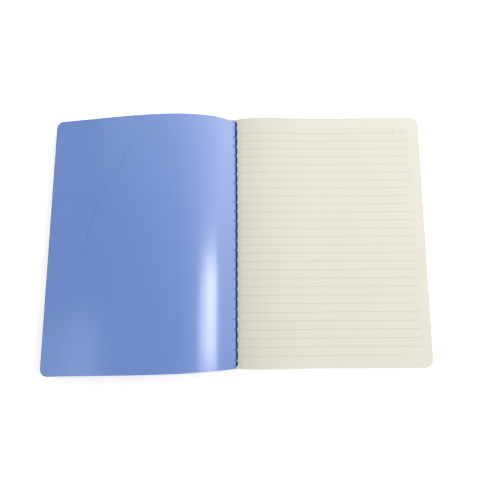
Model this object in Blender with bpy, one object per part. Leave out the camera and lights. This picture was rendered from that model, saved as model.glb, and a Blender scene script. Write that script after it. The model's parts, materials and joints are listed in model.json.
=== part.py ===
"""Sewn notebook, lying open at its first page: card cover, ruled leaves and a lockstitched seam.

Metres, +Z up. X runs from the seam to the fore edge of the leaves, Y up the page.
The origin lies on the table under the middle of the seam.
"""

import math

import bmesh
import bpy

MM = 0.001

# Format of the book
PAGE_HEIGHT = 216.0 * MM
SEAM_TO_FORE_EDGE = 161.4 * MM
SEAM_INSET = 3.6 * MM

# Leaves
LEAF_COUNT = 40
PAPER_THICKNESS = 0.10 * MM
PRESSED_AIR = 0.01 * MM
LOOSE_AIR = 0.03 * MM
LEAF_CORNER_RADIUS = 7.0 * MM
LEAF_ROOT_GAP = 0.3 * MM
LEAF_SETTLE_WIDTH = 11.0 * MM
BULGE_HEIGHT = 3.7 * MM
BULGE_CREST_WIDTH = 17.2 * MM
BULGE_FALL_WIDTH = 51.0 * MM

# Cover card
CARD_THICKNESS = 0.40 * MM
COVER_CORNER_RADIUS = 6.0 * MM
COVER_FOLD_RADIUS = 0.8 * MM
COVER_TO_LEAF_AIR = 0.10 * MM
GLUE_THICKNESS = 0.20 * MM
GLUE_CLEARANCE = 0.05 * MM
STRIP_TO_THREAD_GAP = 0.40 * MM
FOLD_CLEARANCE = 0.30 * MM
STRIP_GAP = 0.30 * MM

# Seam
STITCH_PITCH = 8.37 * MM
SHORTEST_STITCH = 4.0 * MM
SEAM_END_MARGIN = 2.0 * MM
# How far the middle of the whole stitches lies below the middle of the page
SEAM_DROP = 0.86 * MM
THREAD_DIAMETER = 0.70 * MM
THREAD_CLEARANCE = 0.05 * MM
LOCK_CLEARANCE = 0.10 * MM
HOLE_CLEARANCE = 0.10 * MM
HOLE_EDGE_PAPER = 0.30 * MM
STITCH_BEND_RADIUS = 0.45 * MM
# How the bobbin thread turns up into a hole: leg offsets across, bend radii along and up
BOBBIN_APPROACH = (
    (0.80, 1.40, 0.00),
    (1.00, 0.35, 0.30),
    (1.00, 0.00, 1.30),
)

# How the open front cover rises and falls again, read along the card from its fold
FOLD_STRIP_LENGTH = 15.0 * MM
BEND_STRIP_LENGTH = 35.0 * MM
COVER_SLOPES_DEG = (
    (0.0 * MM, 0.0),
    (5.0 * MM, 14.0),
    (9.0 * MM, 36.0),
    (14.0 * MM, 34.0),
    (22.0 * MM, 23.0),
    (34.0 * MM, 18.0),
    (50.0 * MM, 8.0),
    (68.0 * MM, 0.0),
    (90.0 * MM, -5.0),
    (120.0 * MM, -5.5),
    (163.0 * MM, -4.5),
)

# Fineness of curved faces
CORNER_STEPS = 4
FOLD_STEPS = 4
HOLE_SIDES = 12
RISE_STEPS = 4
FALL_STEPS = 4
HUMP_STEP = 3.0 * MM
PANEL_STEP = 12.0 * MM
SLOPE_SAMPLE = 0.25 * MM
LOOP_STEPS = 4
STITCH_BEND_STEPS = 2
THREAD_BEVEL_STEPS = 1

# Stack heights, all from the table up
COVER_TOP = CARD_THICKNESS
THREAD_RADIUS = THREAD_DIAMETER / 2
BOBBIN_RUN_Z = COVER_TOP + 2 * THREAD_CLEARANCE + THREAD_RADIUS
MARGIN_BOTTOM = BOBBIN_RUN_Z + THREAD_RADIUS + THREAD_CLEARANCE
PRESSED_PITCH = PAPER_THICKNESS + PRESSED_AIR
LOOSE_PITCH = PAPER_THICKNESS + LOOSE_AIR
MARGIN_TOP = MARGIN_BOTTOM + LEAF_COUNT * PRESSED_PITCH
AXIS_Z = MARGIN_TOP + THREAD_CLEARANCE + THREAD_RADIUS

# Seam layout: the two legs of each thread stand this far either side of the middle of a hole
LEG_OFFSET = THREAD_DIAMETER + LOCK_CLEARANCE / 2
HOLE_RADIUS = LEG_OFFSET + THREAD_RADIUS + HOLE_CLEARANCE
MARGIN_RIGHT = HOLE_RADIUS + HOLE_EDGE_PAPER
LEAF_ROOT_X = MARGIN_RIGHT + LEAF_ROOT_GAP
SEAM_LENGTH = PAGE_HEIGHT - 2 * SEAM_END_MARGIN
# As many whole stitches as fit, and a shorter one at each end
WHOLE_STITCHES_REACH = SEAM_LENGTH - 2 * abs(SEAM_DROP) - 2 * SHORTEST_STITCH
STITCH_COUNT = math.floor(WHOLE_STITCHES_REACH / STITCH_PITCH) + 2

STRIP_END_X = -(THREAD_RADIUS + STRIP_TO_THREAD_GAP)
CARD_LENGTH = SEAM_TO_FORE_EDGE - STRIP_END_X
STRIP_BOTTOM = MARGIN_TOP + GLUE_CLEARANCE
STRIP_TOP = STRIP_BOTTOM + CARD_THICKNESS
SPINE_INNER_X = -(SEAM_INSET + GLUE_THICKNESS + 2 * GLUE_CLEARANCE)
SPINE_OUTER_X = SPINE_INNER_X - CARD_THICKNESS

CARD_BLUE = (0.145, 0.235, 0.560)
PAPER_CREAM = (0.830, 0.800, 0.690)
THREAD_NAVY = (0.020, 0.035, 0.110)
GLUE_CLEAR = (0.700, 0.680, 0.600)


def clear_scene():
    for old in list(bpy.data.objects):
        bpy.data.objects.remove(old, do_unlink=True)


def make_material(name, colour, roughness):
    material = bpy.data.materials.new(name)
    material.use_nodes = True
    shader = material.node_tree.nodes["Principled BSDF"]
    shader.inputs["Base Color"].default_value = (*colour, 1.0)
    shader.inputs["Roughness"].default_value = roughness
    shader.inputs["Metallic"].default_value = 0.0
    return material


def smoothstep(t):
    t = min(max(t, 0.0), 1.0)
    return t * t * (3.0 - 2.0 * t)


def add_object(name, mesh, material, parent=None):
    thing = bpy.data.objects.new(name, mesh)
    bpy.context.collection.objects.link(thing)
    thing.data.materials.append(material)
    if parent is not None:
        thing.parent = parent
        thing.matrix_parent_inverse.identity()
        thing.location = [-value for value in parent["world_place"]]
    return thing


def add_axis(name, place, parent=None):
    """An empty on a joint's axis; everything parented to it turns about Y there."""
    empty = bpy.data.objects.new(name, None)
    empty.empty_display_size = 0.02
    bpy.context.collection.objects.link(empty)
    empty["world_place"] = place
    if parent is None:
        empty.location = place
    else:
        empty.parent = parent
        empty.location = [a - b for a, b in zip(place, parent["world_place"])]
    return empty


def finish_mesh(name, bm):
    bmesh.ops.recalc_face_normals(bm, faces=bm.faces)
    mesh = bpy.data.meshes.new(name)
    bm.to_mesh(mesh)
    bm.free()
    return mesh


def corner_insets(length, radius):
    """Distances back from a sheet's outer edge, and how much narrower each side is there."""
    pairs = []
    for step in range(CORNER_STEPS + 1):
        angle = math.radians(90.0 * step / CORNER_STEPS)
        along = length - radius + radius * math.sin(angle)
        inset = radius - radius * math.cos(angle)
        pairs.append((along, inset))
    return pairs


def ribbon(name, upper, lower, half_widths):
    """A sheet as a closed solid: one cross-section line at each station of its profile."""
    bm = bmesh.new()
    rings = []
    for (ux, uz), (lx, lz), half in zip(upper, lower, half_widths):
        corners = ((ux, half, uz), (ux, -half, uz), (lx, -half, lz), (lx, half, lz))
        rings.append([bm.verts.new(corner) for corner in corners])
    for first, second in zip(rings, rings[1:]):
        for side in range(4):
            after = (side + 1) % 4
            bm.faces.new((first[side], first[after], second[after], second[side]))
    bm.faces.new(rings[0])
    bm.faces.new(list(reversed(rings[-1])))
    return finish_mesh(name, bm)


def extruded_outline(name, outline, half_width):
    """A closed X-Z outline carried along Y."""
    bm = bmesh.new()
    face = bm.faces.new([bm.verts.new((x, -half_width, z)) for x, z in outline])
    grown = bmesh.ops.extrude_face_region(bm, geom=[face])
    moved = [item for item in grown["geom"] if isinstance(item, bmesh.types.BMVert)]
    bmesh.ops.translate(bm, vec=(0.0, 2 * half_width, 0.0), verts=moved)
    return finish_mesh(name, bm)


def leaf_stations():
    stations = [LEAF_ROOT_X + BULGE_CREST_WIDTH * step / RISE_STEPS for step in range(RISE_STEPS + 1)]
    crest = stations[-1]
    stations += [crest + BULGE_FALL_WIDTH * (step + 1) / FALL_STEPS for step in range(FALL_STEPS)]
    widths = [PAGE_HEIGHT / 2] * len(stations)
    for along, inset in corner_insets(SEAM_TO_FORE_EDGE, LEAF_CORNER_RADIUS):
        stations.append(along)
        widths.append(PAGE_HEIGHT / 2 - inset)
    return stations, widths


def leaf_underside(number, x):
    """Height of a leaf's lower face. Leaf 1 is the first page and leaf LEAF_COUNT the last."""
    below = LEAF_COUNT - number
    root = MARGIN_BOTTOM + below * PRESSED_PITCH
    flat = COVER_TOP + COVER_TO_LEAF_AIR + below * LOOSE_PITCH
    settled = smoothstep((x - LEAF_ROOT_X) / LEAF_SETTLE_WIDTH)
    rise = smoothstep((x - LEAF_ROOT_X) / BULGE_CREST_WIDTH)
    fall = 1.0 - smoothstep((x - LEAF_ROOT_X - BULGE_CREST_WIDTH) / BULGE_FALL_WIDTH)
    bulge = BULGE_HEIGHT * below / (LEAF_COUNT - 1)
    return root + (flat - root) * settled + bulge * min(rise, fall)


def build_leaves(paper):
    stations, widths = leaf_stations()
    for number in range(1, LEAF_COUNT + 1):
        name = f"leaf_{number:02d}"
        under = [(x, leaf_underside(number, x)) for x in stations]
        over = [(x, z + PAPER_THICKNESS) for x, z in under]
        axis = add_axis(f"{name}_axis", (0.0, 0.0, AXIS_Z))
        add_object(name, ribbon(name, over, under, widths), paper, axis)


def arc_points(centre_x, centre_z, radius, start_deg, end_deg):
    points = []
    for step in range(FOLD_STEPS + 1):
        angle = math.radians(start_deg + (end_deg - start_deg) * step / FOLD_STEPS)
        points.append((centre_x + radius * math.cos(angle), centre_z + radius * math.sin(angle)))
    return points


def build_back_cover(card):
    """Back panel, spine and the strip glued over the sewn edge: one piece of card."""
    inner_radius = COVER_FOLD_RADIUS - CARD_THICKNESS
    low_z = COVER_FOLD_RADIUS
    high_z = STRIP_TOP - COVER_FOLD_RADIUS
    turn_x = SPINE_OUTER_X + COVER_FOLD_RADIUS
    panel_end = SEAM_TO_FORE_EDGE - COVER_CORNER_RADIUS

    upper = [(STRIP_END_X, STRIP_BOTTOM)]
    upper += arc_points(turn_x, high_z, inner_radius, 90.0, 180.0)
    upper += arc_points(turn_x, low_z, inner_radius, 180.0, 270.0)
    upper.append((panel_end, COVER_TOP))
    lower = [(STRIP_END_X, STRIP_TOP)]
    lower += arc_points(turn_x, high_z, COVER_FOLD_RADIUS, 90.0, 180.0)
    lower += arc_points(turn_x, low_z, COVER_FOLD_RADIUS, 180.0, 270.0)
    lower.append((panel_end, 0.0))
    widths = [PAGE_HEIGHT / 2] * len(upper)
    for along, inset in corner_insets(SEAM_TO_FORE_EDGE, COVER_CORNER_RADIUS)[1:]:
        upper.append((along, COVER_TOP))
        lower.append((along, 0.0))
        widths.append(PAGE_HEIGHT / 2 - inset)
    add_object("back_cover", ribbon("back_cover", upper, lower, widths), card)


def slope_at(along):
    """Rise of the open front cover in radians, eased between the named slopes."""
    for (start, first), (end, second) in zip(COVER_SLOPES_DEG, COVER_SLOPES_DEG[1:]):
        if along <= end:
            part = smoothstep((along - start) / (end - start))
            return math.radians(first + (second - first) * part)
    return math.radians(COVER_SLOPES_DEG[-1][1])


def cover_middle(along):
    """Point on the middle of the card's thickness, and the card's slope there."""
    x = STRIP_END_X
    z = STRIP_TOP + FOLD_CLEARANCE + CARD_THICKNESS / 2
    steps = max(1, round(along / SLOPE_SAMPLE))
    length = along / steps
    for step in range(steps):
        slope = slope_at((step + 0.5) * length)
        x -= length * math.cos(slope)
        z += length * math.sin(slope)
    return x, z, slope_at(along)


def even_places(start, end, step_length):
    count = round((end - start) / step_length)
    return [(start + (end - start) * step / count, 0.0) for step in range(count + 1)]


def cover_strip(name, places, card, axis):
    """A strip of the open front cover. Places are distances along the card and side insets."""
    upper = []
    lower = []
    widths = []
    for along, inset in places:
        x, z, slope = cover_middle(along)
        offset_x = math.sin(slope) * CARD_THICKNESS / 2
        offset_z = math.cos(slope) * CARD_THICKNESS / 2
        upper.append((x + offset_x, z + offset_z))
        lower.append((x - offset_x, z - offset_z))
        widths.append(PAGE_HEIGHT / 2 - inset)
    add_object(name, ribbon(name, upper, lower, widths), card, axis)


def build_front_cover(card):
    """The front cover's card bends as it opens: three strips share the bend."""
    first_end = FOLD_STRIP_LENGTH
    second_end = FOLD_STRIP_LENGTH + BEND_STRIP_LENGTH
    half_gap = STRIP_GAP / 2
    fold_axis = add_axis("front_cover_fold_axis", (0.0, 0.0, AXIS_Z))
    x, z, _ = cover_middle(first_end)
    bend_axis = add_axis("front_cover_bend_axis", (x, 0.0, z), fold_axis)
    x, z, _ = cover_middle(second_end)
    panel_axis = add_axis("front_cover_panel_axis", (x, 0.0, z), bend_axis)
    fold = even_places(0.0, first_end - half_gap, HUMP_STEP)
    bend = even_places(first_end + half_gap, second_end - half_gap, HUMP_STEP)
    panel = even_places(second_end + half_gap, CARD_LENGTH - COVER_CORNER_RADIUS, PANEL_STEP)
    panel += corner_insets(CARD_LENGTH, COVER_CORNER_RADIUS)[1:]
    cover_strip("front_cover_fold", fold, card, fold_axis)
    cover_strip("front_cover_bend", bend, card, bend_axis)
    cover_strip("front_cover_panel", panel, card, panel_axis)


def hole_places():
    """From foot to head. The first and last stitches are shorter than the rest."""
    inner = STITCH_COUNT - 1
    foot = -SEAM_DROP - STITCH_PITCH * (inner - 1) / 2
    whole = [foot + STITCH_PITCH * index for index in range(inner)]
    return [-SEAM_LENGTH / 2, *whole, SEAM_LENGTH / 2]


def build_binding_margin(paper):
    """The sewn margins of all the leaves, pressed into one edge, with a hole at every stitch."""
    outline = (
        (-SEAM_INSET, MARGIN_BOTTOM),
        (MARGIN_RIGHT, MARGIN_BOTTOM),
        (MARGIN_RIGHT, MARGIN_TOP),
        (-SEAM_INSET, MARGIN_TOP),
    )
    mesh = extruded_outline("binding_margin", outline, PAGE_HEIGHT / 2)
    margin = add_object("binding_margin", mesh, paper)

    bm = bmesh.new()
    depth = 2 * (MARGIN_TOP - MARGIN_BOTTOM)
    for y in hole_places():
        made = bmesh.ops.create_cone(
            bm, cap_ends=True, segments=HOLE_SIDES, radius1=HOLE_RADIUS, radius2=HOLE_RADIUS, depth=depth
        )
        bmesh.ops.translate(bm, vec=(0.0, y, (MARGIN_TOP + MARGIN_BOTTOM) / 2), verts=made["verts"])
    holes = add_object("needle_hole_cutter", finish_mesh("needle_hole_cutter", bm), paper)
    holes.hide_render = True
    holes.display_type = "WIRE"
    cut = margin.modifiers.new("needle holes", "BOOLEAN")
    cut.operation = "DIFFERENCE"
    cut.solver = "EXACT"
    cut.object = holes


def build_spine_glue(glue):
    """The layer between the sewn edge and the flat of the spine."""
    top = STRIP_TOP - COVER_FOLD_RADIUS
    outline = (
        (SPINE_INNER_X + GLUE_CLEARANCE, MARGIN_BOTTOM),
        (-SEAM_INSET - GLUE_CLEARANCE, MARGIN_BOTTOM),
        (-SEAM_INSET - GLUE_CLEARANCE, top),
        (SPINE_INNER_X + GLUE_CLEARANCE, top),
    )
    add_object("spine_glue", extruded_outline("spine_glue", outline, PAGE_HEIGHT / 2), glue)


def turn_offsets(radius, start_deg, sweep_deg, steps):
    """Offsets from the centre of an arc, from start_deg on."""
    offsets = []
    for step in range(steps + 1):
        angle = math.radians(start_deg + sweep_deg * step / steps)
        offsets.append((radius * math.cos(angle), radius * math.sin(angle)))
    return offsets


def loop_in_hole(index, start_deg, sweep_deg):
    """Half a turn round the other thread, or half of that at the ends of the seam."""
    loop = turn_offsets(LEG_OFFSET, start_deg, sweep_deg, LOOP_STEPS)
    if index == 0:
        return loop[LOOP_STEPS // 2:]
    if index == STITCH_COUNT:
        return loop[: LOOP_STEPS // 2 + 1]
    return loop


def needle_thread_points():
    """Over the page from hole to hole, and down each hole in a loop that the other thread holds."""
    middle = (MARGIN_TOP + MARGIN_BOTTOM) / 2
    loop_low = middle - THREAD_RADIUS - LOCK_CLEARANCE / 2
    loop_centre = loop_low + LEG_OFFSET
    bend_z = AXIS_Z - STITCH_BEND_RADIUS
    side = LEG_OFFSET + STITCH_BEND_RADIUS
    points = []
    for index, y in enumerate(hole_places()):
        if index > 0:
            for dy, dz in turn_offsets(STITCH_BEND_RADIUS, 90.0, -90.0, STITCH_BEND_STEPS):
                points.append((0.0, y - side + dy, bend_z + dz))
        for dy, dz in loop_in_hole(index, 180.0, 180.0):
            points.append((0.0, y + dy, loop_centre + dz))
        if index < STITCH_COUNT:
            for dy, dz in turn_offsets(STITCH_BEND_RADIUS, 180.0, -90.0, STITCH_BEND_STEPS):
                points.append((0.0, y + side + dy, bend_z + dz))
    return points


def bobbin_approach(y, side):
    places = []
    for across, along, up in BOBBIN_APPROACH:
        x = side * across * LEG_OFFSET
        places.append((x, y + side * along * STITCH_BEND_RADIUS, BOBBIN_RUN_Z + up * STITCH_BEND_RADIUS))
    return places


def bobbin_thread_points():
    """Under the leaves from hole to hole, and up each hole in a loop across the seam."""
    middle = (MARGIN_TOP + MARGIN_BOTTOM) / 2
    loop_high = middle + THREAD_RADIUS + LOCK_CLEARANCE / 2
    loop_centre = loop_high - LEG_OFFSET
    points = []
    for index, y in enumerate(hole_places()):
        if index > 0:
            points += bobbin_approach(y, -1)
        for dx, dz in loop_in_hole(index, 180.0, -180.0):
            points.append((dx, y, loop_centre + dz))
        if index < STITCH_COUNT:
            points += reversed(bobbin_approach(y, 1))
    return points


def build_thread(name, points, thread):
    curve = bpy.data.curves.new(name, "CURVE")
    curve.dimensions = "3D"
    curve.bevel_depth = THREAD_RADIUS
    curve.bevel_resolution = THREAD_BEVEL_STEPS
    curve.use_fill_caps = True
    spline = curve.splines.new("POLY")
    spline.points.add(len(points) - 1)
    for place, point in zip(points, spline.points):
        point.co = (*place, 1.0)
    add_object(name, curve, thread)


def build_notebook():
    clear_scene()
    card = make_material("cover card", CARD_BLUE, 0.25)
    paper = make_material("cream paper", PAPER_CREAM, 0.85)
    thread = make_material("navy thread", THREAD_NAVY, 0.75)
    glue = make_material("dried glue", GLUE_CLEAR, 0.50)
    build_back_cover(card)
    build_front_cover(card)
    build_binding_margin(paper)
    build_spine_glue(glue)
    build_leaves(paper)
    build_thread("needle_thread", needle_thread_points(), thread)
    build_thread("bobbin_thread", bobbin_thread_points(), thread)


build_notebook()
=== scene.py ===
import json
import math

import bmesh
import bpy
import numpy as np
from mathutils import Matrix, Quaternion, Vector


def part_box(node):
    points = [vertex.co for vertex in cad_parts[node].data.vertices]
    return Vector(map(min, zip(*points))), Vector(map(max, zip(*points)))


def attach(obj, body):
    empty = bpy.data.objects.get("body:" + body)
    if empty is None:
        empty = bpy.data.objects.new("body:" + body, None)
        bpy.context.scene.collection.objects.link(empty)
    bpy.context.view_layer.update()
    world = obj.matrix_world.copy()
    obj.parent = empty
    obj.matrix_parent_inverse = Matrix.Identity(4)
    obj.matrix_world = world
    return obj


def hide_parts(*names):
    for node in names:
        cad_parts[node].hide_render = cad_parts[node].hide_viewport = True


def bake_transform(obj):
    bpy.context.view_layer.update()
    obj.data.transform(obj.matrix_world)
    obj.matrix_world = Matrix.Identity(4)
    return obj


MM = 0.001

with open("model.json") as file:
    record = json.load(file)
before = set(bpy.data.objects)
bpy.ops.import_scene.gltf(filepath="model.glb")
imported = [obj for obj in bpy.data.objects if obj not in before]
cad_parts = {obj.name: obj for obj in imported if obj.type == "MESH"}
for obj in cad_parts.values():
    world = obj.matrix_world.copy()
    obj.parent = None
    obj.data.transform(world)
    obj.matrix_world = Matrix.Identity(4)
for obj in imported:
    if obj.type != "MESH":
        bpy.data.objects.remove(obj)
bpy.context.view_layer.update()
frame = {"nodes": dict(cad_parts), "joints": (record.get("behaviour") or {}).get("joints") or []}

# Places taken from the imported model
JOINTS = {joint["name"]: joint for joint in frame["joints"]}
AXIS_Z = JOINTS["front_cover_hinge"]["pos_m"][2]
LEAF_NODES = sorted(name for name in frame["nodes"] if name.startswith("leaf_"))
LEAF_COUNT = len(LEAF_NODES)
_, LEAF_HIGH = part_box(LEAF_NODES[0])
FORE_EDGE_X = LEAF_HIGH.x
HALF_PAGE = LEAF_HIGH.y
MARGIN_LOW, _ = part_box("binding_margin")

# The leaves
PAPER_THICKNESS = 0.10 * MM
LEAF_CORNER_RADIUS = 7.0 * MM
PRESSED_PITCH = 0.11 * MM
# Height of the first leaf's middle over the seam line, along X, both in mm
FIRST_LEAF_PROFILE = (
    (-1.0, -0.36),
    (0.5, -0.36),
    (1.2, -0.18),
    (2.0, 0.14),
    (3.0, 0.52),
    (4.5, 0.97),
    (6.5, 1.48),
    (10.0, 2.18),
    (13.4, 2.73),
    (17.0, 3.13),
    (22.0, 3.38),
    (28.0, 3.25),
    (40.4, 2.25),
    (60.0, 0.60),
    (81.0, -0.45),
    (161.4, -0.43),
)
# The last leaf comes down from the sewn margin onto the back cover, from here and over this width
LAST_LEAF_FALL_START = 1.5 * MM
LAST_LEAF_FALL_WIDTH = 11.0 * MM
# Where the leaves have points beside the seam, in mm along X
FIRST_LEAF_STATIONS = (
    -0.95, -0.6, -0.3, 0.0, 0.3, 0.6, 0.95, 1.3, 1.65, 2.0, 2.4, 2.8, 3.3, 3.9, 4.6, 5.5,
)
LATER_LEAF_STATIONS = (1.45, 1.8, 2.2, 2.6, 3.1, 3.8, 4.6, 5.6)
# Farther out: from, to and how many, and then the last ones up to the rounded corners
LEAF_SPACING = ((7.0, 30.0, 14), (34.0, 90.0, 12))
LEAF_FAR_START = 104.0 * MM
LEAF_FAR_COUNT = 5
# Rows of points along the seam, for the leaves under the first
PLAIN_ROWS = 25

# The cover's card. Its places along X and Z are from the seam line
CARD_THICKNESS = 0.40 * MM
CARD_LENGTH = 159.2 * MM
CARD_START_X = -1.20 * MM
CARD_START_Z = 0.50 * MM
FOLD_TURN_RADIUS = 0.35 * MM
# Its hidden end under the fold: how far that goes back, and its distance before the fold
FOLD_END_BACK = 0.05 * MM
FOLD_END_DISTANCE = -1.2 * MM
COVER_CORNER_RADIUS = 6.0 * MM
# The card's slope in degrees at these distances from its fold in mm
COVER_SLOPES_DEG = (
    (0.0, 24.0),
    (2.0, 26.5),
    (8.0, 28.0),
    (12.0, 26.5),
    (20.0, 21.0),
    (28.0, 17.5),
    (38.0, 13.5),
    (52.0, 5.0),
    (70.0, -0.8),
    (92.0, -4.5),
    (120.0, -6.3),
    (163.0, -3.0),
)
# At its fore edge the card's head lies lower than its foot, and all of it nearer the page's foot
COVER_TWIST = 3.9 * MM
COVER_SKEW = -3.3 * MM
COVER_REACH = 157.6 * MM
# Where the card has points, in mm from its fold: from, to and step, and then the rest
CARD_SPACING = ((0.0, 6.0, 0.5), (6.0, 60.0, 1.0))
CARD_FAR_START = 60.0 * MM
CARD_FAR_COUNT = 40
# How many of these lie on the fold's strip, and on the fold's and the bend's together
FOLD_STATIONS = 14
FOLD_AND_BEND_STATIONS = 36
# The card is a little short at the head beside its fold
HEAD_SHORT = 1.9 * MM
HEAD_SHORT_REACH = 20.0 * MM
HEAD_SHORT_POWER = 8
# So is the glued strip: its vertices this near the head, and no deeper than this under the seam line
STRIP_HEAD_SHORT = HEAD_SHORT + 0.3 * MM
STRIP_HEAD_REACH = 0.5 * MM
STRIP_DEPTH = 1.0 * MM

# The seam: 24 whole stitches, and a shorter one at each end
STITCH_COUNT = 26
STITCH_PITCH = 8.37 * MM
SEAM_END_MARGIN = 2.0 * MM
# The whole stitches lie a little nearer the foot
SEAM_DROP = 0.86 * MM
THREAD_HALF_WIDTH = 0.86 * MM
THREAD_HALF_HEIGHT = 0.40 * MM
THREAD_PLIES = 3
THREAD_PLY_DEPTH = 0.27
THREAD_TURN_LENGTH = 3.6 * MM
THREAD_SIDES = 18
THREAD_POINTS_PER_KNOT = 5
HOLE_X = -0.98 * MM
STITCH_END_GAP = 0.07 * MM
# How a stitch comes up out of its hole, in mm: X and along from there, and height over the seam line.
# The last value is how full the thread is
STITCH_RISE = (
    (0.00, 0.00, -1.25, 0.50),
    (0.00, 0.00, -0.60, 0.60),
    (0.05, 0.10, -0.10, 0.74),
    (0.40, 0.65, 0.06, 0.86),
    (0.86, 1.60, 0.10, 0.96),
)
# The same at a stitch's middle, and deep in the hole between two stitches
STITCH_TOP = (0.98, 0.10, 1.0)
STITCH_LOW = (0.00, -1.75, 0.50)
# The sewn line wanders a little towards the fore edge at the head, and the card's fold with it
SEAM_LEAN = 0.50 * MM
LEAN_START = -85.0 * MM
LEAN_RISE = 110.0 * MM
LEAN_REACH = 14.0 * MM
# Paper and card are drawn in at the needle holes
PAGE_DIP_X = HOLE_X + 0.60 * MM
PAGE_DIP_DEPTH = 0.45 * MM
PAGE_DIP_WIDTH = 0.55 * MM
FOLD_DIP_DEPTH = 0.62 * MM
FOLD_DIP_WIDTH = 0.60 * MM
FOLD_DIP_REACH = 1.6 * MM
# Places of the first leaf's and the card's points beside each hole, in mm along the seam
ROWS_BY_HOLE = (-2.6, -1.6, -1.0, -0.65, -0.35, 0.0, 0.35, 0.65, 1.0, 1.6, 2.6, 4.08)

# The ruling, measured from the seam and down from the head of the page
LINE_COUNT = 28
LINE_PITCH = 7.09 * MM
FIRST_LINE = 14.2 * MM
LINE_START = 4.4 * MM
LINE_END_MARGIN = 8.8 * MM
LAST_LINE_END_MARGIN = 24.7 * MM
LINE_WIDTH = 0.22 * MM
# How strong the ink is where it is most worn, and how much stronger elsewhere
LINE_STRENGTH = (0.56, 0.25)
DATE_STROKES = ((139.4 * MM, 12.1 * MM), (146.9 * MM, 12.1 * MM))
DATE_STROKE_HEIGHT = 2.6 * MM
DATE_STROKE_WIDTH = 0.30 * MM
DATE_STROKE_LEAN = 0.25
DATE_STROKE_STRENGTH = 0.75
# Painted shade: the paper's colour darkens towards the seam, standing in for the gutter's shade: from
# where to where, and how much
PAINTED_GUTTER_SHADES = ((8.0 * MM, 0.5 * MM, 0.30), (75.0 * MM, 2.0 * MM, 0.24))

# A crease in the cover: its distance from the fold is a curve of the distance down from the head
CREASE_UNIT = 100.0 * MM
CREASE_CURVE = (0.0725, 0.0770, -0.0263)
# Two waves in it: how far it moves, and where in units the wave rises and falls
CREASE_WAVES = (
    (-1.8 * MM, (0.31, 0.41), (0.53, 0.42)),
    (2.4 * MM, (0.68, 0.90), (1.25, 0.98)),
)
CREASE_HALF_WIDTH = 0.75 * MM
CREASE_CORE = 0.20 * MM
CREASE_HEAD = (14.0 * MM, 30.0 * MM)
CREASE_FOOT = (135.0 * MM, 100.0 * MM)
# Painted shade: how much the card's colour is darkened along the crease
CREASE_SHADE_AMOUNT = 0.45
CREASE_DEPTH = 1.2

# The card's gloss, and where its fold is worn dull
CARD_ROUGHNESS = 0.21
CARD_ROUGHNESS_SPREAD = 0.03
WORN_FOLD = (1.4 * MM, 0.1 * MM)
WORN_ROUGHNESS = 0.30
WORN_GLOSS_LOSS = 0.25

# The camera
IMAGE_SIZE = 480
SENSOR_WIDTH = 36.0
FOCAL_PIXELS = 420.0
CAMERA_PLACE = (8.85 * MM, -49.17 * MM, 357.50 * MM)
CAMERA_TURN_DEG = (7.71, 0.94, -0.46)

# Light, with places and sizes in metres
AMBIENT = 0.158
# Name, place, target, size and power in watts
LAMPS = (
    ("glare", (0.676, -0.10, 1.01), (-0.02, -0.06, 0.0), (0.40, 0.24), 2.95),
    ("glow", (0.86, 0.05, 0.88), (-0.02, 0.0, 0.0), (0.80, 0.65), 0.90),
    ("fill", (-0.965, -0.365, 0.95), (-0.12, -0.08, 0.0), (0.46, 0.50), 3.25),
)
SOFTBOX_X = (-0.88, 1.5)
SOFTBOX_Y = (-0.45, 1.0)
SOFTBOX_Z = 1.0
SOFTBOX_LEVEL = 0.70
# Its brightness at the left side and its growth to the right, as polynomials of Y
SOFTBOX_LEFT = (0.05, 0.8)
SOFTBOX_GROWTH = (0.84, 0.90, 1.70)
# How much brighter it is in the far left corner, and between which places that comes in
SOFTBOX_CORNER = 0.6
SOFTBOX_CORNER_X = (-0.45, -0.85)
SOFTBOX_CORNER_Y = (0.30, 0.62)
FLOOR_HALF_SIZE = 3.0
FLOOR_Z = -0.02 * MM
# The floor's glow by the book, and the distances over which it grows to 1
FLOOR_GLOW = 0.40
FLOOR_GLOW_REACH = (0.35, 1.6)


# Helpers

def eased(t):
    """0 below 0, 1 above 1, and a smooth rise between."""
    t = np.clip(t, 0.0, 1.0)
    return t * t * (3.0 - 2.0 * t)


def smooth_curve(knots, x):
    """A smooth curve through the knots that never overshoots them."""
    kx = np.array([k[0] for k in knots], float)
    ky = np.array([k[1] for k in knots], float)
    step = np.diff(kx)
    rise = np.diff(ky) / step
    slope = np.zeros(len(kx))
    for i in range(1, len(kx) - 1):
        if rise[i - 1] * rise[i] > 0:
            slope[i] = 2 * rise[i - 1] * rise[i] / (rise[i - 1] + rise[i])
    slope[0] = rise[0]
    slope[-1] = rise[-1]
    x = np.asarray(x, float)
    i = np.clip(np.searchsorted(kx, x) - 1, 0, len(step) - 1)
    t = np.clip((x - kx[i]) / step[i], 0.0, 1.0)
    h00 = (1 + 2 * t) * (1 - t) ** 2
    h10 = t * (1 - t) ** 2
    h01 = t * t * (3 - 2 * t)
    h11 = t * t * (t - 1)
    return h00 * ky[i] + h10 * step[i] * slope[i] + h01 * ky[i + 1] + h11 * step[i] * slope[i + 1]


def hole_places():
    """From foot to head. The first and last stitches are shorter than the rest."""
    end = HALF_PAGE - SEAM_END_MARGIN
    whole = (np.arange(STITCH_COUNT - 1) - (STITCH_COUNT - 2) / 2) * STITCH_PITCH - SEAM_DROP
    return np.array([-end, *whole, end])


def seam_lean(y):
    """How far the sewn line lies towards the fore edge at this height of the page."""
    return SEAM_LEAN * eased((y - LEAN_START) / LEAN_RISE)


def page_rows(fine):
    """Places across the page, from -1 to 1, close together at the needle holes if fine."""
    if not fine:
        return np.linspace(-1.0, 1.0, PLAIN_ROWS)
    places = [-HALF_PAGE, HALF_PAGE]
    for hole in hole_places():
        places += list(hole + np.array(ROWS_BY_HOLE) * MM)
    places = sorted(p for p in places if abs(p) <= HALF_PAGE)
    return np.array(places) / HALF_PAGE


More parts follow.
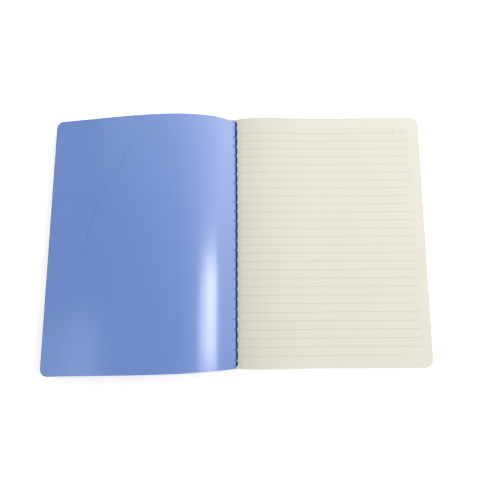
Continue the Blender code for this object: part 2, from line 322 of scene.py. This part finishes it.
def rounded_end(length, radius, steps=9):
    """The stations of a rounded corner, each with how far the side is set in there."""
    angles = np.linspace(0.0, math.pi / 2, steps)[1:]
    return [(length - radius + radius * math.sin(a), radius - radius * math.cos(a)) for a in angles]


def grid_normals(points):
    """Normals on the upper side of a grid of points."""
    across = np.gradient(points, axis=0)
    along = np.gradient(points, axis=1)
    normals = np.cross(across, along)
    return normals / np.maximum(np.linalg.norm(normals, axis=2, keepdims=True), 1e-12)


def sheet_object(name, points, normals, uvs, thickness, materials):
    """A closed thin sheet from a grid of points: faces in the first material, edges in the last."""
    rows, columns = points.shape[:2]
    top = (points + normals * thickness / 2).reshape(-1, 3)
    bottom = (points - normals * thickness / 2).reshape(-1, 3)
    count = rows * columns
    index = np.arange(count).reshape(rows, columns)
    a, b, c, d = index[:-1, :-1], index[1:, :-1], index[1:, 1:], index[:-1, 1:]
    quads = np.stack([a, b, c, d], axis=-1).reshape(-1, 4)
    faces = [tuple(q) for q in quads]
    faces += [tuple(q[::-1] + count) for q in quads]
    panel_faces = len(faces)
    rim = list(index[0, :-1]) + list(index[:-1, -1]) + list(index[-1, :0:-1]) + list(index[:0:-1, 0])
    for first, second in zip(rim, rim[1:] + rim[:1]):
        faces.append((first, second, second + count, first + count))
    mesh = bpy.data.meshes.new(name)
    mesh.from_pydata(np.vstack([top, bottom]).tolist(), [], [list(map(int, f)) for f in faces])
    for material in materials:
        mesh.materials.append(material)
    slots = np.zeros(len(faces), np.int32)
    slots[panel_faces:] = len(materials) - 1
    mesh.polygons.foreach_set("material_index", slots)
    flat_uv = np.vstack([uvs.reshape(-1, 2), uvs.reshape(-1, 2)])
    loop_vertex = np.zeros(len(mesh.loops), np.int32)
    mesh.loops.foreach_get("vertex_index", loop_vertex)
    layer = mesh.uv_layers.new(name="page")
    layer.data.foreach_set("uv", flat_uv[loop_vertex].astype(np.float32).ravel())
    mesh.update()

    vertex_normals = np.vstack([normals.reshape(-1, 3), -normals.reshape(-1, 3)])
    loop_normals = vertex_normals[loop_vertex]
    face_normals = np.zeros(len(faces) * 3)
    mesh.polygons.foreach_get("normal", face_normals)
    face_normals = face_normals.reshape(-1, 3)
    starts = np.zeros(len(faces), np.int32)
    mesh.polygons.foreach_get("loop_start", starts)
    for face in range(panel_faces, len(faces)):
        loop_normals[starts[face]:starts[face] + 4] = face_normals[face]
    mesh.polygons.foreach_set("use_smooth", np.ones(len(faces), bool))
    mesh.normals_split_custom_set(loop_normals.tolist())
    thing = bpy.data.objects.new(name, mesh)
    bpy.context.scene.collection.objects.link(thing)
    return thing


# Materials

class Nodes:
    """A short way to write a material's node tree."""

    def __init__(self, name):
        self.material = bpy.data.materials.new(name)
        self.material.use_nodes = True
        self.tree = self.material.node_tree
        self.shader = self.tree.nodes["Principled BSDF"]

    def add(self, kind, settings=None, **inputs):
        node = self.tree.nodes.new(kind)
        for key, value in (settings or {}).items():
            setattr(node, key, value)
        for key, value in inputs.items():
            self.put(node.inputs[key.replace("_", " ")], value)
        return node

    def put(self, socket, value):
        if isinstance(value, bpy.types.NodeSocket):
            self.tree.links.new(value, socket)
        else:
            socket.default_value = value

    def math(self, operation, first, second=0.0, third=0.0):
        node = self.add("ShaderNodeMath", {"operation": operation})
        for socket, value in zip(node.inputs, (first, second, third)):
            self.put(socket, value)
        return node.outputs[0]

    def step(self, value, low, high):
        """0 below low, 1 above high, eased between. Low above high turns it round."""
        node = self.add("ShaderNodeMapRange", {"interpolation_type": "SMOOTHSTEP"})
        self.put(node.inputs["Value"], value)
        turned = low > high
        self.put(node.inputs["From Min"], min(low, high))
        self.put(node.inputs["From Max"], max(low, high))
        self.put(node.inputs["To Min"], 1.0 if turned else 0.0)
        self.put(node.inputs["To Max"], 0.0 if turned else 1.0)
        return node.outputs["Result"]

    def noise(self, vector, scale, detail=2.0, roughness=0.5):
        node = self.add("ShaderNodeTexNoise", Scale=scale, Detail=detail, Roughness=roughness)
        self.put(node.inputs["Vector"], vector)
        return node.outputs["Fac"]

    def mix(self, factor, first, second):
        node = self.add("ShaderNodeMix", {"data_type": "RGBA"})
        self.put(node.inputs["Factor"], factor)
        colours = [socket for socket in node.inputs if socket.type == "RGBA"]
        self.put(colours[0], first)
        self.put(colours[1], second)
        return [socket for socket in node.outputs if socket.type == "RGBA"][0]

    def bump(self, height, strength, distance):
        node = self.add("ShaderNodeBump", Strength=strength, Distance=distance)
        self.put(node.inputs["Height"], height)
        return node.outputs["Normal"]

    def set(self, **inputs):
        for key, value in inputs.items():
            self.put(self.shader.inputs[key.replace("_", " ")], value)


def colour(red, green, blue):
    return (red, green, blue, 1.0)


def page_coordinates(nodes):
    """Metres from the seam, and metres down from the head of the page."""
    uv = nodes.add("ShaderNodeUVMap", {"uv_map": "page"})
    split = nodes.add("ShaderNodeSeparateXYZ")
    nodes.put(split.inputs[0], uv.outputs["UV"])
    return split.outputs["X"], split.outputs["Y"], uv.outputs["UV"]


def line_mask(nodes, across, down):
    """Where the ruling's ink lies."""
    turned = nodes.math("DIVIDE", nodes.math("SUBTRACT", down, FIRST_LINE), LINE_PITCH)
    nearest = nodes.math("ROUND", turned)
    off = nodes.math("ABSOLUTE", nodes.math("SUBTRACT", turned, nearest))
    ink = nodes.step(nodes.math("MULTIPLY", off, LINE_PITCH), LINE_WIDTH * 0.75, LINE_WIDTH * 0.35)
    above_first = nodes.math("GREATER_THAN", nearest, -0.5)
    below_last = nodes.math("LESS_THAN", nearest, LINE_COUNT - 0.5)
    is_last = nodes.math("GREATER_THAN", nearest, LINE_COUNT - 1.5)
    shorter = nodes.math("MULTIPLY", is_last, LAST_LINE_END_MARGIN - LINE_END_MARGIN)
    end = nodes.math("SUBTRACT", FORE_EDGE_X - LINE_END_MARGIN, shorter)
    mask = nodes.math("MULTIPLY", ink, nodes.math("MULTIPLY", above_first, below_last))
    mask = nodes.math("MULTIPLY", mask, nodes.math("GREATER_THAN", across, LINE_START))
    return nodes.math("MULTIPLY", mask, nodes.math("LESS_THAN", across, end))


def stroke_mask(nodes, across, down, place):
    """A short slanted stroke of the date field."""
    x0, y0 = place
    dy = nodes.math("SUBTRACT", down, y0)
    dx = nodes.math("MULTIPLY_ADD", dy, DATE_STROKE_LEAN, nodes.math("SUBTRACT", across, x0))
    near = nodes.step(nodes.math("ABSOLUTE", dx), DATE_STROKE_WIDTH * 0.8, DATE_STROKE_WIDTH * 0.4)
    tall = nodes.math("LESS_THAN", nodes.math("ABSOLUTE", dy), DATE_STROKE_HEIGHT / 2)
    return nodes.math("MULTIPLY", near, tall)


PAPER = colour(0.815, 0.790, 0.685)
PAPER_DARK = colour(0.780, 0.752, 0.640)
PAPER_FIBRE = colour(0.70, 0.66, 0.54)
# The colour of the painted shade in the paper's gutter
PAINTED_GUTTER_SHADE_COLOUR = colour(0.60, 0.555, 0.455)
CUT_PALE = colour(0.80, 0.775, 0.67)
CUT_DARK = colour(0.70, 0.67, 0.56)
CUT_GAP = colour(0.42, 0.38, 0.30)
INK = colour(0.36, 0.40, 0.36)
CARD_BLUE = colour(0.074, 0.184, 0.543)
CARD_BLUE_SOFT = colour(0.081, 0.195, 0.559)
# Painted shade along the crease's groove
CARD_BLUE_CREASE_SHADE = colour(0.045, 0.115, 0.390)
CORE_DARK = colour(0.30, 0.40, 0.66)
CORE_PALE = colour(0.42, 0.50, 0.72)
NAVY_DARK = colour(0.007, 0.013, 0.044)
NAVY_PALE = colour(0.018, 0.034, 0.098)
GLUE_PALE = colour(0.70, 0.68, 0.60)
GLUE_DARK = colour(0.62, 0.59, 0.50)
FLOOR_WHITE = colour(0.93, 0.93, 0.93)
LIGHT_WHITE = colour(1.0, 1.0, 1.0)


def ruled_paper():
    nodes = Nodes("ruled cream paper")
    across, down, uv = page_coordinates(nodes)
    cloud = nodes.noise(uv, scale=38.0, detail=3.0, roughness=0.55)
    fibre = nodes.noise(uv, scale=2600.0, detail=4.0, roughness=0.6)
    base = nodes.mix(nodes.math("MULTIPLY", nodes.step(cloud, 0.30, 0.75), 0.35), PAPER, PAPER_DARK)
    base = nodes.mix(nodes.math("MULTIPLY", nodes.step(fibre, 0.45, 0.75), 0.10), base, PAPER_FIBRE)
    # Painted shade: the paper's colour is darkened towards the seam, in place of the gutter's shade
    painted_gutter_shade = 0.0
    for start, end, amount in PAINTED_GUTTER_SHADES:
        painted_gutter_shade = nodes.math("MULTIPLY_ADD", nodes.step(across, start, end), amount, painted_gutter_shade)
    base = nodes.mix(painted_gutter_shade, base, PAINTED_GUTTER_SHADE_COLOUR)
    mask = line_mask(nodes, across, down)
    worn = nodes.step(nodes.noise(uv, scale=900.0, detail=2.0), 0.25, 0.60)
    strength = nodes.math("MULTIPLY_ADD", worn, LINE_STRENGTH[1], LINE_STRENGTH[0])
    ink = nodes.math("MULTIPLY", mask, strength)
    for place in DATE_STROKES:
        stroke = stroke_mask(nodes, across, down, place)
        ink = nodes.math("MAXIMUM", ink, nodes.math("MULTIPLY", stroke, DATE_STROKE_STRENGTH))
    nodes.set(Base_Color=nodes.mix(ink, base, INK), Roughness=0.78, Specular_IOR_Level=0.25)
    nodes.set(Normal=nodes.bump(fibre, strength=0.10, distance=0.05 * MM))
    return nodes.material


def paper_edge():
    nodes = Nodes("cut paper edge")
    place = nodes.add("ShaderNodeTexCoord").outputs["Object"]
    fibre = nodes.noise(place, scale=3000.0, detail=3.0)
    base = nodes.mix(nodes.step(fibre, 0.3, 0.8), CUT_PALE, CUT_DARK)
    nodes.set(Base_Color=base, Roughness=0.85, Specular_IOR_Level=0.2)
    nodes.set(Normal=nodes.bump(fibre, strength=0.3, distance=0.05 * MM))
    return nodes.material


def stacked_paper():
    """The pressed edges of the sewn margins: one fine dark line between each leaf and the next."""
    nodes = Nodes("stacked paper edges")
    place = nodes.add("ShaderNodeTexCoord").outputs["Object"]
    split = nodes.add("ShaderNodeSeparateXYZ")
    nodes.put(split.inputs[0], place)
    level = nodes.math("DIVIDE", split.outputs["Z"], PRESSED_PITCH)
    part = nodes.math("FRACT", level)
    gap = nodes.math("ABSOLUTE", nodes.math("SUBTRACT", part, 0.5))
    dark = nodes.step(gap, 0.30, 0.48)
    fibre = nodes.noise(place, scale=1800.0, detail=3.0)
    base = nodes.mix(nodes.step(fibre, 0.3, 0.8), CUT_PALE, CUT_DARK)
    base = nodes.mix(nodes.math("MULTIPLY", dark, 0.45), base, CUT_GAP)
    nodes.set(Base_Color=base, Roughness=0.85, Specular_IOR_Level=0.2)
    nodes.set(Normal=nodes.bump(nodes.math("SUBTRACT", fibre, dark), strength=0.3, distance=0.05 * MM))
    return nodes.material


def crease_mask(nodes, across, down):
    """Where the faint curved crease in the cover's card lies."""
    t = nodes.math("DIVIDE", down, CREASE_UNIT)
    bend = nodes.math("MULTIPLY_ADD", t, CREASE_CURVE[2], CREASE_CURVE[1])
    middle = nodes.math("MULTIPLY_ADD", bend, t, CREASE_CURVE[0])
    for size, rise, fall in CREASE_WAVES:
        wave = nodes.math("MULTIPLY", nodes.step(t, *rise), nodes.step(t, *fall))
        middle = nodes.math("MULTIPLY_ADD", wave, size, middle)
    off = nodes.math("ABSOLUTE", nodes.math("SUBTRACT", across, middle))
    line = nodes.step(off, CREASE_HALF_WIDTH, CREASE_CORE)
    ends = nodes.math("MULTIPLY", nodes.step(down, *CREASE_HEAD), nodes.step(down, *CREASE_FOOT))
    return nodes.math("MULTIPLY", line, ends)


def glossy_card(with_crease):
    """The cover's card. The open cover has the crease, a bumped groove with painted shade along it,
    and is worn dull at its very fold.
    """
    nodes = Nodes("glossy blue card" + (" with a crease" if with_crease else ""))
    if with_crease:
        across, down, place = page_coordinates(nodes)
    else:
        place = nodes.add("ShaderNodeTexCoord").outputs["Object"]
    cloud = nodes.noise(place, scale=16.0, detail=3.0, roughness=0.5)
    grain = nodes.noise(place, scale=1400.0, detail=3.0, roughness=0.6)
    wave = nodes.noise(place, scale=55.0, detail=2.0, roughness=0.5)
    base = nodes.mix(nodes.step(cloud, 0.25, 0.80), CARD_BLUE, CARD_BLUE_SOFT)
    height = nodes.math("MULTIPLY_ADD", grain, 0.25, wave)
    if with_crease:
        line = crease_mask(nodes, across, down)
        # The crease is a real groove in the bump below; its darker colour is painted shade
        base = nodes.mix(nodes.math("MULTIPLY", line, CREASE_SHADE_AMOUNT), base, CARD_BLUE_CREASE_SHADE)
        height = nodes.math("SUBTRACT", height, nodes.math("MULTIPLY", line, CREASE_DEPTH))
    patches = nodes.step(cloud, 0.3, 0.7)
    rough = nodes.math("MULTIPLY_ADD", patches, CARD_ROUGHNESS_SPREAD, CARD_ROUGHNESS)
    if with_crease:
        worn = nodes.step(across, *WORN_FOLD)
        rough = nodes.math("MULTIPLY_ADD", worn, WORN_ROUGHNESS, rough)
        nodes.set(Specular_IOR_Level=nodes.math("MULTIPLY_ADD", worn, -WORN_GLOSS_LOSS, 1.0))
    else:
        nodes.set(Specular_IOR_Level=1.0)
    nodes.set(Base_Color=base, Roughness=rough)
    nodes.set(Normal=nodes.bump(height, strength=0.08, distance=0.4 * MM))
    return nodes.material


def card_core():
    nodes = Nodes("pale core of the card")
    place = nodes.add("ShaderNodeTexCoord").outputs["Object"]
    fibre = nodes.noise(place, scale=2200.0, detail=3.0)
    base = nodes.mix(nodes.step(fibre, 0.3, 0.8), CORE_DARK, CORE_PALE)
    nodes.set(Base_Color=base, Roughness=0.7, Specular_IOR_Level=0.3)
    nodes.set(Normal=nodes.bump(fibre, strength=0.3, distance=0.05 * MM))
    return nodes.material


def navy_thread():
    nodes = Nodes("navy thread")
    place = nodes.add("ShaderNodeTexCoord").outputs["Object"]
    fibre = nodes.noise(place, scale=5200.0, detail=3.0, roughness=0.6)
    base = nodes.mix(nodes.step(fibre, 0.3, 0.75), NAVY_DARK, NAVY_PALE)
    nodes.set(Base_Color=base, Roughness=0.75, Specular_IOR_Level=0.2)
    nodes.set(Normal=nodes.bump(fibre, strength=0.4, distance=0.08 * MM))
    return nodes.material


def clear_glue():
    nodes = Nodes("dried glue")
    place = nodes.add("ShaderNodeTexCoord").outputs["Object"]
    lump = nodes.noise(place, scale=420.0, detail=3.0)
    base = nodes.mix(nodes.step(lump, 0.3, 0.7), GLUE_PALE, GLUE_DARK)
    nodes.set(Base_Color=base, Roughness=0.35)
    nodes.set(Normal=nodes.bump(lump, strength=0.4, distance=0.2 * MM))
    return nodes.material


RULED = ruled_paper()
CUT_PAPER = paper_edge()
STACKED = stacked_paper()
CARD = glossy_card(with_crease=False)
CREASED_CARD = glossy_card(with_crease=True)
CARD_CORE = card_core()
THREAD = navy_thread()
GLUE = clear_glue()


# The leaves

def first_leaf_height(x):
    return smooth_curve(FIRST_LEAF_PROFILE, x / MM) * MM


def last_leaf_height(x):
    root = MARGIN_LOW.z + PAPER_THICKNESS / 2 - AXIS_Z
    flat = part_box(LEAF_NODES[-1])[0].z + PAPER_THICKNESS / 2 - AXIS_Z
    return root + (flat - root) * eased((x - LAST_LEAF_FALL_START) / LAST_LEAF_FALL_WIDTH)


def leaf_height(order, x):
    """Order 0 is the first leaf, and 1 the last."""
    first = first_leaf_height(x)
    return first + (last_leaf_height(x) - first) * order


def dips(x, y, across, depth, width):
    """How far a surface is drawn in at the needle holes."""
    drawn = np.zeros(np.broadcast(x, y).shape)
    for place in hole_places():
        drawn += depth * np.exp(-(((y - place) / width) ** 2 + ((x - across) / width) ** 2))
    return drawn


def leaf_grid(order, stations, insets, rows, with_dips):
    """The points of one leaf, and their places on the page."""
    x = np.array(stations)[:, None]
    half = (HALF_PAGE - np.array(insets))[:, None]
    y = half * rows[None, :]
    x = np.repeat(x, len(rows), axis=1)
    z = AXIS_Z + leaf_height(order, x)
    if with_dips:
        z = z - dips(x, y, PAGE_DIP_X + seam_lean(y), PAGE_DIP_DEPTH, PAGE_DIP_WIDTH)
    points = np.stack([x, y, z], axis=-1)
    uvs = np.stack([x, HALF_PAGE - y], axis=-1)
    return points, uvs


def build_leaf(number):
    first = number == 0
    near = list(np.array(FIRST_LEAF_STATIONS if first else LATER_LEAF_STATIONS) * MM)
    limit = FORE_EDGE_X - LEAF_CORNER_RADIUS
    spaced = []
    for start, end, count in LEAF_SPACING:
        spaced += list(np.linspace(start * MM, end * MM, count))
    spaced += list(np.linspace(LEAF_FAR_START, limit, LEAF_FAR_COUNT))
    stations = near + spaced
    insets = [0.0] * len(stations)
    for along, inset in rounded_end(FORE_EDGE_X, LEAF_CORNER_RADIUS):
        stations.append(along)
        insets.append(inset)
    rows = page_rows(fine=first)
    points, uvs = leaf_grid(number / (LEAF_COUNT - 1), stations, insets, rows, first)
    node = LEAF_NODES[number]
    normals = grid_normals(points)
    piece = sheet_object(f"{node}_sheet", points, normals, uvs, PAPER_THICKNESS, [RULED, CUT_PAPER])
    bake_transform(piece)
    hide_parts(node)


for leaf_number in range(LEAF_COUNT):
    build_leaf(leaf_number)


# The front cover

def cover_slope(along):
    """The card's slope at this distance from its fold."""
    knots = COVER_SLOPES_DEG
    for (start, first), (end, second) in zip(knots, knots[1:]):
        if along <= end * MM:
            share = float(eased((along / MM - start) / (end - start)))
            return math.radians(first + (second - first) * share)
    return math.radians(knots[-1][1])


def cover_line(places):
    """Points on the middle of the card at these distances from its fold."""
    fine = 0.25 * MM
    x, z, s = CARD_START_X, CARD_START_Z, 0.0
    found = []
    for place in places:
        while s < place - 1e-9:
            step = min(fine, place - s)
            slope = cover_slope(s + step / 2)
            x -= step * math.cos(slope)
            z += step * math.sin(slope)
            s += step
        found.append((x, z))
    return found


def fold_turn():
    """The half turn from the glued strip up into the cover: X, Z and distance before the fold."""
    centre_z = CARD_START_Z - FOLD_TURN_RADIUS
    places = [(CARD_START_X - FOLD_END_BACK, centre_z - FOLD_TURN_RADIUS, FOLD_END_DISTANCE)]
    for angle in np.linspace(-math.pi / 2, math.pi / 2, 9)[:-1]:
        x = CARD_START_X + FOLD_TURN_RADIUS * math.cos(angle)
        z = centre_z + FOLD_TURN_RADIUS * math.sin(angle)
        places.append((x, z, (angle - math.pi / 2) * FOLD_TURN_RADIUS))
    return places


def build_cover():
    """The front cover's card, in three strips cut from one sheet."""
    turn = fold_turn()
    places = []
    for start, end, step in CARD_SPACING:
        places += list(np.arange(start, end, step) * MM)
    limit = CARD_LENGTH - COVER_CORNER_RADIUS
    places += list(np.linspace(CARD_FAR_START, limit, CARD_FAR_COUNT))
    insets = [0.0] * (len(turn) + len(places))
    for along, inset in rounded_end(CARD_LENGTH, COVER_CORNER_RADIUS):
        places.append(along)
        insets.append(inset)
    line = cover_line(places)
    profile = [(x, z) for x, z, _ in turn] + line
    distances = np.array([s for _, _, s in turn] + places)
    rows = page_rows(fine=True)[::-1]
    x = np.repeat(np.array([p[0] for p in profile])[:, None], len(rows), axis=1)
    z = np.repeat(np.array([p[1] for p in profile])[:, None], len(rows), axis=1) + AXIS_Z
    y = (HALF_PAGE - np.array(insets))[:, None] * rows[None, :]
    short = HEAD_SHORT * eased(1.0 - distances[:, None] / HEAD_SHORT_REACH)
    y = y - short * eased(y / HALF_PAGE) ** HEAD_SHORT_POWER
    share = np.clip(-x / COVER_REACH, 0.0, None)
    uvs = np.stack([np.repeat(distances[:, None], len(rows), axis=1), HALF_PAGE - y], axis=-1)
    z = z - COVER_TWIST * share ** 2 * y / HALF_PAGE
    close = np.exp(-(distances[:, None] / FOLD_DIP_REACH) ** 2)
    x = x - close * dips(0.0, y, 0.0, FOLD_DIP_DEPTH, FOLD_DIP_WIDTH)
    x = x + seam_lean(y) * eased(1.0 - distances[:, None] / LEAN_REACH)
    y = y + COVER_SKEW * share
    points = np.stack([x, y, z], axis=-1)
    normals = grid_normals(points)
    cuts = [0, len(turn) + FOLD_STATIONS, len(turn) + FOLD_AND_BEND_STATIONS, len(points) - 1]
    names = ("front_cover_fold", "front_cover_bend", "front_cover_panel")
    for name, first, last in zip(names, cuts, cuts[1:]):
        part = slice(first, last + 1)
        piece = sheet_object(
            f"{name}_card", points[part], normals[part], uvs[part],
            CARD_THICKNESS, [CREASED_CARD, CARD_CORE]
        )
        blend_cover(name, piece)
        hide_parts(name)


def blend_cover(name, piece):
    """Bakes each strip's place into its mesh; all three strips are handled alike."""
    if name == "front_cover_fold":
        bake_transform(piece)
    elif name == "front_cover_bend":
        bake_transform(piece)
    else:
        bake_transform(piece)


build_cover()


# The back cover

def build_back_cover():
    """The modelled card, its glued strip cut as short at the head as the front cover beside it."""
    mesh = frame["nodes"]["back_cover"].data.copy()
    mesh.name = "back_cover_card"
    for vertex in mesh.vertices:
        if vertex.co.y > HALF_PAGE - STRIP_HEAD_REACH and vertex.co.z > AXIS_Z - STRIP_DEPTH:
            vertex.co.y -= STRIP_HEAD_SHORT
    mesh.materials.clear()
    mesh.materials.append(CARD)
    piece = bpy.data.objects.new("back_cover_card", mesh)
    bpy.context.scene.collection.objects.link(piece)
    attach(piece, "book_block")
    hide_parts("back_cover")


build_back_cover()


# The seam

def catmull(points, per_span):
    """A smooth curve through all the points."""
    points = np.array(points, float)
    padded = np.vstack([2 * points[0] - points[1], points, 2 * points[-1] - points[-2]])
    made = []
    for i in range(1, len(padded) - 2):
        p0, p1, p2, p3 = padded[i - 1:i + 3]
        for t in np.arange(per_span) / per_span:
            made.append(
                0.5 * (2 * p1 + (p2 - p0) * t + (2 * p0 - 5 * p1 + 4 * p2 - p3) * t ** 2
                       + (3 * p1 - p0 - 3 * p2 + p3) * t ** 3)
            )
    made.append(points[-1])
    return np.array(made)


def stitch_points():
    """Over the page from hole to hole: places on the seam line, and how full the thread is there."""
    holes = hole_places()
    knots = []
    for index, (a, b) in enumerate(zip(holes, holes[1:])):
        start = a + STITCH_END_GAP
        end = b - STITCH_END_GAP
        knots += [(x, start + along * MM, z, full) for x, along, z, full in STITCH_RISE]
        x, z, full = STITCH_TOP
        knots.append((x, (a + b) / 2, z, full))
        knots += [(x, end - along * MM, z, full) for x, along, z, full in reversed(STITCH_RISE)]
        if index < len(holes) - 2:
            x, z, full = STITCH_LOW
            knots.append((x, b, z, full))
    return [(HOLE_X + x * MM + seam_lean(y), y, z * MM + AXIS_Z, full) for x, y, z, full in knots]


def twisted_tube(name, path, width, height, fullness, plies, ply_depth, turn_length, sides, material):
    """A pressed thread of twisted plies along a path. Width and height are half of its full size."""
    tangents = np.gradient(path, axis=0)
    tangents /= np.linalg.norm(tangents, axis=1, keepdims=True)
    side = np.tile(np.array([1.0, 0.0, 0.0]), (len(path), 1))
    side -= (side * tangents).sum(axis=1, keepdims=True) * tangents
    side /= np.linalg.norm(side, axis=1, keepdims=True)
    other = np.cross(tangents, side)
    length = np.r_[0.0, np.cumsum(np.linalg.norm(np.diff(path, axis=0), axis=1))]
    angle = np.linspace(0.0, 2 * math.pi, sides, endpoint=False)
    twist = 2 * math.pi * length[:, None] / turn_length
    lobes = np.abs(np.cos(plies * (angle[None, :] - twist) / 2))
    reach = (fullness[:, None] * (1.0 - ply_depth + ply_depth * lobes))[..., None]
    across = width * np.cos(angle)[None, :, None] * side[:, None, :]
    upward = height * np.sin(angle)[None, :, None] * other[:, None, :]
    ring = path[:, None, :] + reach * (across + upward)
    count = len(path)
    faces = []
    for i in range(count - 1):
        for j in range(sides):
            k = (j + 1) % sides
            faces.append((i * sides + j, i * sides + k, (i + 1) * sides + k, (i + 1) * sides + j))
    faces.append(tuple(range(sides))[::-1])
    faces.append(tuple((count - 1) * sides + j for j in range(sides)))
    mesh = bpy.data.meshes.new(name)
    mesh.from_pydata(ring.reshape(-1, 3).tolist(), [], faces)
    bm = bmesh.new()
    bm.from_mesh(mesh)
    bmesh.ops.recalc_face_normals(bm, faces=bm.faces)
    bm.to_mesh(mesh)
    bm.free()
    mesh.polygons.foreach_set("use_smooth", np.ones(len(mesh.polygons), bool))
    mesh.materials.append(material)
    thing = bpy.data.objects.new(name, mesh)
    bpy.context.scene.collection.objects.link(thing)
    return thing


def build_needle_thread():
    route = catmull(stitch_points(), THREAD_POINTS_PER_KNOT)
    piece = twisted_tube(
        "needle_thread_twist", route[:, :3], THREAD_HALF_WIDTH, THREAD_HALF_HEIGHT, route[:, 3],
        THREAD_PLIES, THREAD_PLY_DEPTH, THREAD_TURN_LENGTH, THREAD_SIDES, THREAD
    )
    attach(piece, "book_block")
    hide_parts("needle_thread")


build_needle_thread()

for cad_name, finish in (
    ("binding_margin", STACKED),
    ("spine_glue", GLUE),
    ("bobbin_thread", THREAD),
):
    slots = frame["nodes"][cad_name].data.materials
    slots.clear()
    slots.append(finish)


# Floor, light and camera

def shown_directly(nodes):
    """1 for what the camera sees, straight or in gloss or through glass."""
    path = nodes.add("ShaderNodeLightPath")
    seen = nodes.math("ADD", path.outputs["Is Camera Ray"], path.outputs["Is Glossy Ray"])
    seen = nodes.math("ADD", seen, path.outputs["Is Transmission Ray"])
    return nodes.math("MINIMUM", seen, 1.0)


def build_floor():
    corners = [(-1, -1), (1, -1), (1, 1), (-1, 1)]
    points = [(x * FLOOR_HALF_SIZE, y * FLOOR_HALF_SIZE, FLOOR_Z) for x, y in corners]
    mesh = bpy.data.meshes.new("studio_floor")
    mesh.from_pydata(points, [], [(0, 1, 2, 3)])
    floor = bpy.data.objects.new("studio_floor", mesh)
    bpy.context.scene.collection.objects.link(floor)
    nodes = Nodes("white studio floor")
    nodes.set(Base_Color=FLOOR_WHITE, Roughness=0.9, Specular_IOR_Level=0.0)
    place = nodes.add("ShaderNodeNewGeometry").outputs["Position"]
    distance = nodes.add("ShaderNodeVectorMath", {"operation": "LENGTH"})
    nodes.put(distance.inputs[0], place)
    far = nodes.step(distance.outputs["Value"], *FLOOR_GLOW_REACH)
    glow = nodes.math("MULTIPLY_ADD", far, 1.0 - FLOOR_GLOW, FLOOR_GLOW)
    nodes.set(Emission_Color=LIGHT_WHITE)
    nodes.set(Emission_Strength=nodes.math("MULTIPLY", shown_directly(nodes), glow))
    mesh.materials.append(nodes.material)


def build_world():
    world = bpy.data.worlds.new("studio")
    bpy.context.scene.world = world
    world.use_nodes = True
    nodes = Nodes.__new__(Nodes)
    nodes.tree = world.node_tree
    background = nodes.tree.nodes["Background"]
    background.inputs["Color"].default_value = LIGHT_WHITE
    seen = shown_directly(nodes)
    nodes.put(background.inputs["Strength"], nodes.math("MULTIPLY_ADD", seen, 1.0 - AMBIENT, AMBIENT))


def build_lamp(name, place, target, size, power):
    light = bpy.data.lights.new(name, "AREA")
    light.shape = "RECTANGLE"
    light.size, light.size_y = size
    light.energy = power
    lamp = bpy.data.objects.new(name, light)
    bpy.context.scene.collection.objects.link(lamp)
    lamp.location = place
    lamp.rotation_euler = (Vector(target) - Vector(place)).to_track_quat("-Z", "Y").to_euler()


def build_softbox():
    """One wide soft light overhead, brighter to the right, the far side and the far left corner."""
    left, right = SOFTBOX_X
    near, far = SOFTBOX_Y
    light = bpy.data.lights.new("softbox", "AREA")
    light.shape = "RECTANGLE"
    light.size = right - left
    light.size_y = far - near
    light.energy = math.pi * light.size * light.size_y
    light.use_nodes = True
    nodes = Nodes.__new__(Nodes)
    nodes.tree = light.node_tree
    emission = nodes.tree.nodes["Emission"]
    split = nodes.add("ShaderNodeSeparateXYZ")
    nodes.put(split.inputs[0], nodes.add("ShaderNodeNewGeometry").outputs["Parametric"])
    x = nodes.math("MULTIPLY_ADD", split.outputs["X"], right - left, left)
    y = nodes.math("MULTIPLY_ADD", split.outputs["Y"], far - near, near)
    base = nodes.math("MULTIPLY_ADD", y, SOFTBOX_LEFT[1], SOFTBOX_LEFT[0])
    growth = nodes.math("MULTIPLY_ADD", y, SOFTBOX_GROWTH[2], SOFTBOX_GROWTH[1])
    growth = nodes.math("MULTIPLY_ADD", y, growth, SOFTBOX_GROWTH[0])
    base = nodes.math("MAXIMUM", base, 0.0)
    glow = nodes.math("MULTIPLY_ADD", nodes.math("SUBTRACT", x, left), growth, base)
    corner = nodes.math("MULTIPLY", nodes.step(x, *SOFTBOX_CORNER_X), nodes.step(y, *SOFTBOX_CORNER_Y))
    glow = nodes.math("MULTIPLY_ADD", corner, SOFTBOX_CORNER, glow)
    nodes.put(emission.inputs["Strength"], nodes.math("MULTIPLY", glow, SOFTBOX_LEVEL))
    lamp = bpy.data.objects.new("softbox", light)
    bpy.context.scene.collection.objects.link(lamp)
    lamp.location = ((left + right) / 2, (near + far) / 2, SOFTBOX_Z)


def build_camera():
    data = bpy.data.cameras.new("camera")
    data.sensor_width = SENSOR_WIDTH
    data.lens = FOCAL_PIXELS * SENSOR_WIDTH / IMAGE_SIZE
    data.clip_start = 0.01
    camera = bpy.data.objects.new("camera", data)
    bpy.context.scene.collection.objects.link(camera)
    turn = Vector([math.radians(a) for a in CAMERA_TURN_DEG])
    place = Vector(CAMERA_PLACE) + Vector((0.0, 0.0, AXIS_Z))
    turned = Quaternion(turn.normalized(), turn.length).to_matrix().to_4x4()
    camera.matrix_world = Matrix.Translation(place) @ turned
    bpy.context.scene.camera = camera


build_floor()
build_world()
for lamp_name, lamp_place, lamp_target, lamp_size, lamp_power in LAMPS:
    build_lamp(lamp_name, lamp_place, lamp_target, lamp_size, lamp_power)
build_softbox()
build_camera()
bpy.context.scene.view_settings.view_transform = "Standard"
